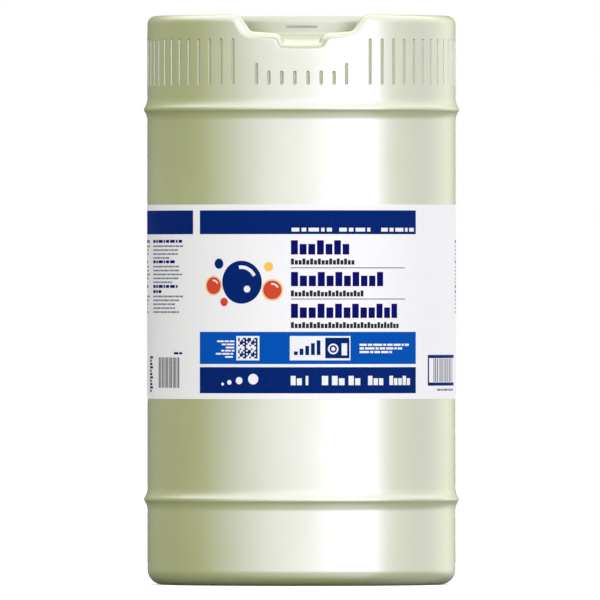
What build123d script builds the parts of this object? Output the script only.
from build123d import *
import os
from math import atan2, cos, degrees, hypot, radians, sin

os.makedirs("parts", exist_ok=True)

# A closed-head drum of about 57 litres, blow moulded in one piece from
# natural polyethylene, with two screw bungs in its head and a paper label
# round its barrel. All sizes are in millimetres. The drum stands on z = 0
# with its axis on Z, and the hand notch that faces the viewer is at -Y.

# Barrel
drum_height = 664.0
body_radius = 180.0
wall = 3.2
base_corner_radius = 18.0
rim_corner_radius = 10.0

# Rolling rings
ring_proud = 4.0
ring_half_height = 13.5
ring_nose_radius = 4.5
lower_ring_z = 99.9
upper_ring_drop = 109.2

# Base
foot_width = 30.0
base_slope_run = 15.0
base_rise = 8.0
pinch_end_gap = 20.0
pinch_width = 2.4
pinch_height = 1.2

# Head, inside the rim, with its depths taken from the rim's crest
rim_width = 16.0
rim_inner_corner_radius = 3.0
head_depth = 24.0
head_corner_radius = 4.0
well_half_width = 44.0
plateau_setback = 10.0
plateau_drop = 1.4
plateau_plan_radius = 14.0
plateau_shoulder_radius = 8.0
plateau_inner_chamfer = 2.7
slot_length = 36.0
slot_height = 3.0
slot_depth = 1.6
slot_drop = 14.2

# Hand notches in the rim, front and back, seen from the front
scallop_corner_half = 58.7
scallop_flank_run = 13.0
scallop_corner_drop = 19.5
shelf_end_half = 24.9
shelf_end_drop = 22.0
notch_floor_half = 17.6
notch_floor_drop = 36.2
scallop_crest_radius = 14.0
scallop_corner_radius = 8.0
shelf_shoulder_radius = 12.5
notch_corner_radius = 3.0
chute_run = 30.0

# Grip grooves in the shoulder, pressed in from outside
groove_width = 4.0
groove_depth = 1.5
groove_foot_drop = 82.6
long_groove_length = 55.7
medium_groove_length = 26.9
short_groove_length = 17.9
first_long_angle = 26.3
long_groove_count = 26
medium_groove_angle = 16.9
short_groove_first_angle = 2.45
short_groove_pitch = 4.85
short_groove_count = 3

# Threaded necks and screw bungs
neck_rim_gap = 44.0
neck_bore_radius = 30.1
neck_wall = 6.9
neck_stand = 10.0
neck_depth = 22.0
neck_lip_chamfer = 1.0
thread_room = 1.6
gasket_thickness = 2.5
gasket_clearance = 0.5
gasket_width = 6.5
bung_flange_inset = 1.0
bung_flange_thickness = 7.0
bung_skirt_length = 22.0
bung_skirt_wall = 3.5
bung_recess_radius = 23.0
bung_edge_chamfer = 1.0
bung_web = 3.5
bung_recess_depth = 4.5
bung_grip_count = 12
bung_grip_radius = 2.6
bung_grip_offset = 0.9
lug_width = 7.0
lug_reach = 9.0
lug_drop = 1.0
vent_hole_radius = 4.0
vent_seat_radius = 9.0
vent_seat_depth = 0.6
vent_cap_thickness = 2.6
vent_cap_chamfer = 0.65
vent_slot_width = 1.8
vent_slot_height = 0.9
vent_clearance = 0.1
membrane_thickness = 0.4

# Label
label_foot_gap = 117.1
label_top_gap = 111.5
label_thickness = 0.3
label_overlap = 14.0

# Contents
fill_clearance = 0.3
fill_drop = 72.0
fill_foot_chamfer = 6.0

# Heights and radii that follow from those above
upper_ring_z = drum_height - upper_ring_drop
foot_inner_radius = body_radius - foot_width
base_flat_radius = foot_inner_radius - base_slope_run
pinch_length = 2 * (base_flat_radius - pinch_end_gap)
rim_inner_radius = body_radius - rim_width
head_floor_z = drum_height - head_depth
chute_start = body_radius - chute_run
plateau_radius = chute_start - plateau_setback
plateau_top_z = drum_height - plateau_drop
slot_z = drum_height - slot_drop
scallop_corner_z = drum_height - scallop_corner_drop
shelf_end_z = drum_height - shelf_end_drop
notch_floor_z = drum_height - notch_floor_drop
scallop_crest_half = scallop_corner_half + scallop_flank_run
groove_foot_z = drum_height - groove_foot_drop
neck_x = rim_inner_radius - neck_rim_gap
plateau_half_width = neck_x - well_half_width
neck_top_z = head_floor_z + neck_stand
neck_outer_radius = neck_bore_radius + neck_wall
bung_flange_radius = neck_outer_radius - bung_flange_inset
bung_skirt_radius = neck_bore_radius - thread_room
bung_seat_z = neck_top_z + gasket_thickness
label_foot_z = lower_ring_z + label_foot_gap
label_height = upper_ring_z - label_top_gap - label_foot_z
fill_level_z = drum_height - fill_drop
far = drum_height


def point_at(radius, angle):
    """A point at a radius and an angle from the front, turning towards +X."""
    return (radius * sin(radians(angle)), -radius * cos(radians(angle)))


def ring_edges(z, inset):
    """The outline of one rolling ring: two hollow flanks and a round nose."""
    reach = (ring_proud**2 + ring_half_height**2) / (2 * ring_proud)
    flank = reach - ring_nose_radius
    lean = degrees(atan2(ring_half_height, reach - ring_proud))
    nose = (body_radius + ring_proud - ring_nose_radius, z)
    below = (body_radius + flank, z - ring_half_height)
    above = (body_radius + flank, z + ring_half_height)
    return [
        CenterArc(below, flank + inset, 180, -lean),
        CenterArc(nose, ring_nose_radius - inset, -lean, 2 * lean),
        CenterArc(above, flank + inset, 180 + lean, -lean),
    ]


def foot_edges(inset):
    """The rise from the foot ring to the middle: two bends, or one slope inside."""
    if inset:
        return [Line((base_flat_radius, base_rise + inset), (foot_inner_radius, inset))]
    run = foot_inner_radius - base_flat_radius
    bend = (run**2 + base_rise**2) / (4 * base_rise)
    turn = degrees(atan2(2 * bend - base_rise, run))
    return [
        CenterArc((base_flat_radius, base_rise - bend), bend, 90, turn - 90),
        CenterArc((foot_inner_radius, bend), bend, 180 + turn, 90 - turn),
    ]


def straightened(arcs):
    """Arcs as straight runs between their ends, for the inside of the wall."""
    return [Line(arc @ 0, arc @ 1) for arc in arcs]


def barrel(inset, top):
    """The barrel's form up to a flat top, drawn in from its outside by inset."""
    side = body_radius - inset
    corner = body_radius - base_corner_radius
    bends = straightened if inset else list
    edges = [Line((0, base_rise + inset), (base_flat_radius, base_rise + inset))]
    edges.extend(foot_edges(inset))
    edges.append(Line((foot_inner_radius, inset), (corner, inset)))
    edges.append(CenterArc((corner, base_corner_radius), base_corner_radius - inset, 270, 90))
    foot = base_corner_radius
    for z in (lower_ring_z, upper_ring_z):
        edges.append(Line((side, foot), (side, z - ring_half_height)))
        edges.extend(bends(ring_edges(z, inset)))
        foot = z + ring_half_height
    edges.append(Line((side, foot), (side, top)))
    edges.append(Line((side, top), (0, top)))
    edges.append(Line((0, top), (0, base_rise + inset)))
    return revolve(Plane.XZ * make_face(edges), Axis.Z)


def scallop_outline(grow):
    """The notch seen from the front: flanks, a shelf each side and a floor."""
    slope = scallop_flank_run / scallop_corner_drop
    top = drum_height + 4 * rim_corner_radius
    half_top = scallop_crest_half + slope * (top - drum_height)
    right = [
        (half_top, top),
        (scallop_corner_half, scallop_corner_z),
        (shelf_end_half, shelf_end_z),
        (notch_floor_half, notch_floor_z),
    ]
    left = [(-x, z) for x, z in reversed(right)]
    radii = [0, scallop_corner_radius, shelf_shoulder_radius, notch_corner_radius]
    outline = FilletPolyline(*(right + left), radius=radii[1:] + radii[:0:-1], close=False)
    face = make_face([*outline.edges(), Line(left[-1], right[0])])
    if grow:
        face = offset(face, grow, kind=Kind.INTERSECTION)
    return face


def scallop_cutter(grow=0.0):
    """What is taken out of the front of the rim, down to the sloping chute."""
    reach = body_radius + ring_proud
    across = Plane.XZ * scallop_outline(grow)
    across = extrude(across, far)
    slope = (head_floor_z - notch_floor_z) / (body_radius - chute_start)
    lip_z = notch_floor_z - slope * (reach - body_radius)
    side = Polyline(
        (-reach, lip_z - grow),
        (-chute_start, head_floor_z - grow),
        (0, head_floor_z - grow),
        (0, 2 * far),
        (-reach, 2 * far),
        close=True,
    )
    along = extrude(Plane.YZ * make_face(side), far / 2, both=True)
    inner = (plateau_radius + head_corner_radius + chute_start) / 2
    return (across & along) - Cylinder(inner - grow, 4 * far)


def is_rim_edge(edge, radius):
    """Whether an edge near the top runs round the outside of the rim."""
    places = [edge.position_at(step / 4) for step in range(5)]
    on_wall = all(abs(hypot(p.X, p.Y) - radius) < 0.01 for p in places)
    upright = hypot(places[0].X - places[4].X, places[0].Y - places[4].Y) < 0.01
    return on_wall and not upright and edge.center().Z > upper_ring_z + 2 * ring_half_height


def rimmed_barrel(inset):
    """The barrel with its two notches and the rounding that runs round them."""
    body = barrel(inset, drum_height - inset)
    cutter = scallop_cutter(inset)
    body -= cutter
    body -= cutter.mirror(Plane.XZ)
    crest = drum_height - inset
    corners = [e for e in body.edges().filter_by(Axis.Y) if abs(e.center().Z - crest) < 0.01]
    body = fillet(corners, scallop_crest_radius - inset)
    rim = [e for e in body.edges() if is_rim_edge(e, body_radius - inset)]
    return fillet(rim, rim_corner_radius - inset)


def plateau_form(inset):
    """The raised middle of the head, cut off straight along both wells."""
    plan = Circle(plateau_radius - inset) & Rectangle(2 * (plateau_half_width - inset), far)
    plan = fillet(plan.vertices(), plateau_plan_radius - inset)
    block = extrude(Pos(0, 0, head_floor_z - inset) * plan, plateau_top_z - head_floor_z)
    top = block.edges().group_by(Axis.Z)[-1]
    if inset:
        return chamfer(top, plateau_inner_chamfer)
    return fillet(top, plateau_shoulder_radius)


def head_recess(grow=0.0):
    """What the head is sunk by: the inside of the rim round the plateau."""
    depth = drum_height + ring_proud - head_floor_z
    pot = Pos(0, 0, head_floor_z - grow) * extrude(Circle(rim_inner_radius + grow), depth + grow)
    pot -= plateau_form(grow)
    if grow:
        return pot
    return fillet(pot.edges().group_by(Axis.Z)[0], head_corner_radius)


def slot_cutter():
    """The shallow oblong recess in the front wall of the plateau."""
    bar = Box(slot_length, 2 * slot_depth, slot_height)
    return Pos(0, -plateau_radius, slot_z) * bar


def groove_cutter(angle, length):
    """One grip groove: a flute whose floor is an arc, run out to a tip at each end."""
    half = groove_width / 2
    radius = (half**2 + groove_depth**2) / (2 * groove_depth)
    reach = body_radius + radius - groove_depth
    low = groove_foot_z + radius
    high = groove_foot_z + length - radius
    flute = Pos(0, 0, (low + high) / 2) * Cylinder(radius, high - low)
    flute += Pos(0, 0, low - radius / 2) * Cone(0, radius, radius)
    flute += Pos(0, 0, high + radius / 2) * Cone(radius, 0, radius)
    return Rot(0, 0, angle - 90) * Pos(reach, 0, 0) * flute


def groove_cutters():
    """All the grip grooves: a long row each side, short ones at each notch."""
    cutters = []
    pitch = (180 - 2 * first_long_angle) / (long_groove_count - 1)
    for side in (-1, 1):
        for step in range(long_groove_count):
            angle = side * (first_long_angle + pitch * step)
            cutters.append(groove_cutter(angle, long_groove_length))
        for middle in (0, 180):
            cutters.append(groove_cutter(middle + side * medium_groove_angle, medium_groove_length))
            for step in range(short_groove_count):
                angle = middle + side * (short_groove_first_angle + short_groove_pitch * step)
                cutters.append(groove_cutter(angle, short_groove_length))
    return cutters


def neck(side):
    """The plain tube of one threaded neck, standing through the head."""
    tube = extrude(Circle(neck_outer_radius), neck_depth)
    lip = tube.edges().group_by(Axis.Z)[-1]
    tube = chamfer(lip, neck_lip_chamfer)
    return Pos(side * neck_x, 0, neck_top_z - neck_depth) * tube


def neck_bore(side):
    """The opening through one neck."""
    return Pos(side * neck_x, 0, neck_top_z) * Cylinder(neck_bore_radius, 3 * neck_depth)


def pinch_line():
    """The ridge that the mould leaves across the raised middle of the base."""
    bar = Box(pinch_length, pinch_width, 2 * pinch_height)
    return Pos(0, 0, base_rise) * bar


def sunk_head(shell):
    """The barrel with its head sunk in and the inside of the rim rounded."""
    shell -= head_recess()
    crest = shell.edges().group_by(Axis.Z)[-1].filter_by(GeomType.CIRCLE)
    return fillet(crest.group_by(SortBy.RADIUS)[0], rim_inner_corner_radius)


def drum_body():
    """The blown shell: an outer form, less the same form drawn in by the wall."""
    shell = sunk_head(rimmed_barrel(0))
    shell -= [slot_cutter(), slot_cutter().mirror(Plane.XZ)]
    shell += pinch_line()
    shell -= rimmed_barrel(wall) - head_recess(wall)
    shell += [neck(-1), neck(1)]
    shell -= [neck_bore(-1), neck_bore(1)]
    shell -= groove_cutters()
    return shell


def paper_label():
    """The wrap-round label, one turn and an overlap at the back."""
    inner = body_radius
    outer = inner + label_thickness
    turn = Circle(outer) - Circle(inner)
    flap = Circle(outer + label_thickness) - Circle(outer)
    strip = Pos(0, body_radius) * Rectangle(label_overlap, body_radius / 2)
    plan = turn + (flap & strip)
    return extrude(Pos(0, 0, label_foot_z) * plan, label_height)


def bleach_fill():
    """The bleach that the drum holds, up to the level of a full drum."""
    foot = base_rise + wall + fill_clearance
    radius = body_radius - wall - fill_clearance
    liquid = extrude(Pos(0, 0, foot) * Circle(radius), fill_level_z - foot)
    return chamfer(liquid.edges().group_by(Axis.Z)[0], fill_foot_chamfer)


def gasket(side):
    """The flat ring between a neck and the flange of its bung."""
    inner = bung_skirt_radius + gasket_clearance
    ring = Circle(inner + gasket_width) - Circle(inner)
    return extrude(Pos(side * neck_x, 0, neck_top_z) * ring, gasket_thickness)


def bung(vented):
    """A screw bung about its own axis, seated at z = 0, without its thread."""
    recess_z = bung_flange_thickness - bung_recess_depth
    skirt_inner = bung_skirt_radius - bung_skirt_wall
    corners = [
        (0, recess_z),
        (bung_recess_radius, recess_z),
        (bung_recess_radius, bung_flange_thickness),
        (bung_flange_radius, bung_flange_thickness),
        (bung_flange_radius, 0),
        (bung_skirt_radius, 0),
        (bung_skirt_radius, -bung_skirt_length),
        (skirt_inner, -bung_skirt_length),
        (skirt_inner, recess_z - bung_web),
        (0, recess_z - bung_web),
    ]
    plug = revolve(Plane.XZ * make_face(Polyline(*corners, close=True)), Axis.Z)
    rims = [e for e in plug.edges().group_by(Axis.Z)[-1] if e.length > bung_recess_radius]
    plug = chamfer(rims, bung_edge_chamfer)
    grip = Cylinder(bung_grip_radius, 4 * bung_flange_thickness)
    for step in range(bung_grip_count):
        turn = 360 * (step + 0.5) / bung_grip_count
        reach = bung_flange_radius + bung_grip_offset
        plug -= Pos(*point_at(reach, turn)) * grip
    lug_height = bung_recess_depth - lug_drop
    for side in (-1, 1):
        lug = Box(lug_reach, lug_width, lug_height, align=(Align.CENTER, Align.CENTER, Align.MIN))
        plug += Pos(side * (bung_recess_radius - lug_reach / 2), 0, recess_z) * lug
    if vented:
        plug -= Pos(0, 0, recess_z) * Cylinder(vent_seat_radius, 2 * vent_seat_depth)
        plug -= Cylinder(vent_hole_radius, 4 * bung_flange_thickness)
    return plug


def vent_membrane():
    """The thin disc over the vent hole, lying in its seat."""
    radius = vent_seat_radius - vent_clearance
    return extrude(Circle(radius), membrane_thickness)


def vent_cap():
    """The button that holds the membrane, with two gas ways across its foot."""
    radius = vent_seat_radius - vent_clearance
    cap = extrude(Circle(radius), vent_cap_thickness)
    cap = chamfer(cap.edges().group_by(Axis.Z)[-1], vent_cap_chamfer)
    way = Box(3 * radius, vent_slot_width, 2 * vent_slot_height)
    return cap - [way, Rot(0, 0, 90) * way]


def parts():
    """Every piece in its place, by the name of its node."""
    seat = bung_seat_z
    vent_seat_z = seat + bung_flange_thickness - bung_recess_depth - vent_seat_depth
    return {
        "drum_body": drum_body(),
        "label": paper_label(),
        "bleach_fill": bleach_fill(),
        "plain_bung": Pos(-neck_x, 0, seat) * bung(vented=False),
        "plain_bung_gasket": gasket(-1),
        "vented_bung": Pos(neck_x, 0, seat) * bung(vented=True),
        "vented_bung_gasket": gasket(1),
        "vent_membrane": Pos(neck_x, 0, vent_seat_z) * vent_membrane(),
        "vent_cap": Pos(neck_x, 0, vent_seat_z + membrane_thickness) * vent_cap(),
    }


for name, solid in parts().items():
    export_step(solid, f"parts/{name}.step")
    print(name, round(solid.volume / 1000, 1), "ml")
